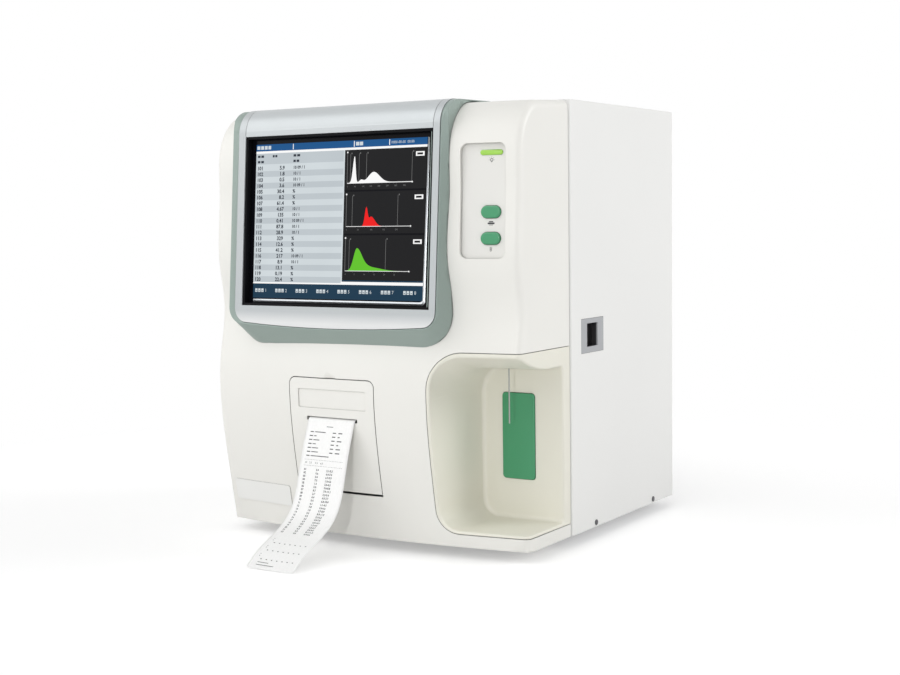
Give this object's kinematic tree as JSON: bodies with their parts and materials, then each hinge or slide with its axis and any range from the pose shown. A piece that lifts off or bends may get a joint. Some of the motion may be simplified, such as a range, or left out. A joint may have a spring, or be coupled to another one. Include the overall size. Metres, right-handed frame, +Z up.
{
  "type": "benchtop blood cell counter",
  "caption": "Benchtop blood cell counter with a leaning touch screen, a keypad, a strip printer door, an open sample bay with a needle and a hinged side service door.",
  "frame": {"origin": "on the table under the middle of the part's outer box, between the paper's tip in front and the tips of the rear hose spigots", "axes": "+Z up, front faces -Y, +X to the right seen from the front"},
  "size_m": [0.3716, 0.495, 0.4518],
  "materials": {
    "cover_moulding": "smooth moulded, warm off-white",
    "sheet_metal": "fine powder coat, light grey white",
    "bare_metal": "satin steel",
    "bezel_silver": "satin silver paint",
    "bezel_shade": "satin grey-green paint",
    "gasket_black": "matt black",
    "screen_glass": "clear touch panel",
    "display_metal": "plain",
    "panel_moulding": "satin",
    "lamp_green": "translucent lens",
    "board_green": "solder mask",
    "key_grey": "satin",
    "badge_silver": "satin",
    "start_green": "satin",
    "switch_black": "matt",
    "frame_plastic": "matt",
    "rubber_dark": "matt",
    "paper": "thermal paper",
    "steel": "ground",
    "plated_steel": "bright",
    "brass_nut": "plain",
    "clear_cup": "clear",
    "valve_body": "satin",
    "tank_white": "satin",
    "tube_clear": "soft tube",
    "fan_black": "satin"
  },
  "bodies": {
    "analyzer": {"front_cover": "cover_moulding", "alcove_insert": "cover_moulding", "bezel_skirt": "bezel_shade", "bezel_face": "bezel_silver", "bezel_top_strip": "bezel_silver", "screen_gasket": "gasket_black", "touch_glass": "screen_glass", "lcd_module": "display_metal", "control_panel": "panel_moulding", "lamp_lens": "lamp_green", "keypad_board": "board_green", "badge_plate": "badge_silver", "start_switch": "switch_black", "printer_frame": "frame_plastic", "print_head": "display_metal", "paper_strip": "paper", "sampler_bracket": "bare_metal", "guide_rods": "plated_steel", "lift_motor": "switch_black", "wash_block": "clear_cup", "chassis_base": "bare_metal", "front_frame": "bare_metal", "top_cover": "sheet_metal", "left_panel": "sheet_metal", "rear_panel": "sheet_metal", "panel_screws": "plated_steel", "door_pivots": "steel", "fluidics_plate": "bare_metal", "counting_baths": "clear_cup", "valve_bank": "valve_body", "syringe_unit": "display_metal", "syringe_barrels": "clear_cup", "waste_chamber": "tank_white", "tubing": "tube_clear", "power_supply": "bare_metal", "main_board": "board_green", "fan_housing": "fan_black", "fan_guard": "plated_steel", "power_entry": "switch_black", "data_ports": "display_metal", "reagent_ports": "valve_body", "foot_front_left": "rubber_dark", "foot_front_right": "rubber_dark", "foot_rear_left": "rubber_dark", "foot_rear_right": "rubber_dark"},
    "service_door": {"service_door": "sheet_metal", "door_pull": "frame_plastic", "door_screws": "plated_steel"},
    "print_button": {"print_button": "key_grey"},
    "sampling_button": {"sampling_button": "key_grey"},
    "start_plate": {"start_plate": "start_green"},
    "printer_door": {"printer_door": "cover_moulding"},
    "platen_roller": {"platen_roller": "rubber_dark"},
    "paper_roll": {"paper_roll": "paper"},
    "sample_probe": {"probe_carriage": "display_metal", "sample_probe": "steel"},
    "lead_screw": {"lead_screw": "steel"},
    "syringe_plungers": {"syringe_plungers": "steel"},
    "fan_rotor": {"fan_rotor": "fan_black"},
    "power_rocker": {"power_rocker": "switch_black"}
  },
  "joints": [
    {"name": "service_door_hinge", "type": "hinge", "parent": "analyzer", "child": "service_door", "pos_m": [0.179, 0.2275, 0.23], "axis": [0, 0, 1], "range_deg": [0, 95]},
    {"name": "print_button_press", "type": "slide", "parent": "analyzer", "child": "print_button", "axis": [-0.1361, 0.989, -0.0576], "range_m": [0, 0.0015], "stiffness_N_per_m": 600, "springref_m": -0.001},
    {"name": "sampling_button_press", "type": "slide", "parent": "analyzer", "child": "sampling_button", "axis": [-0.1361, 0.989, -0.0576], "range_m": [0, 0.0015], "stiffness_N_per_m": 600, "springref_m": -0.001},
    {"name": "start_plate_press", "type": "slide", "parent": "analyzer", "child": "start_plate", "axis": [0, 1, 0], "range_m": [0, 0.002], "stiffness_N_per_m": 500, "springref_m": -0.001},
    {"name": "printer_door_hinge", "type": "hinge", "parent": "analyzer", "child": "printer_door", "pos_m": [-0.024, -0.12564, 0.0628], "axis": [1, 0, 0], "range_deg": [0, 55], "deforming": ["paper_strip"]},
    {"name": "platen_spin", "type": "hinge", "parent": "analyzer", "child": "platen_roller", "pos_m": [-0.024, -0.1255, 0.128], "axis": [1, 0, 0], "continuous": true},
    {"name": "paper_roll_spin", "type": "hinge", "parent": "analyzer", "child": "paper_roll", "pos_m": [-0.024, -0.0835, 0.092], "axis": [1, 0, 0], "continuous": true},
    {"name": "probe_lift", "type": "slide", "parent": "analyzer", "child": "sample_probe", "axis": [0, 0, 1], "range_m": [0, 0.05]},
    {"name": "lead_screw_spin", "type": "hinge", "parent": "analyzer", "child": "lead_screw", "pos_m": [0.139, -0.0435, 0.29], "axis": [0, 0, 1], "range_deg": [-5, 2260]},
    {"name": "syringe_stroke", "type": "slide", "parent": "analyzer", "child": "syringe_plungers", "axis": [0, 0, 1], "range_m": [-0.008, 0.024]},
    {"name": "fan_spin", "type": "hinge", "parent": "analyzer", "child": "fan_rotor", "pos_m": [-0.095, 0.2208, 0.33], "axis": [0, 1, 0], "continuous": true},
    {"name": "power_rocker_tilt", "type": "hinge", "parent": "analyzer", "child": "power_rocker", "pos_m": [-0.14, 0.2305, 0.098], "axis": [1, 0, 0], "range_deg": [-16, 0]}
  ],
  "couplings": [
    {"joint": "lead_screw_spin", "follows": "probe_lift", "rad_per_m": 785.4},
    {"joint": "paper_roll_spin", "follows": "platen_spin", "ratio": -0.25}
  ]
}
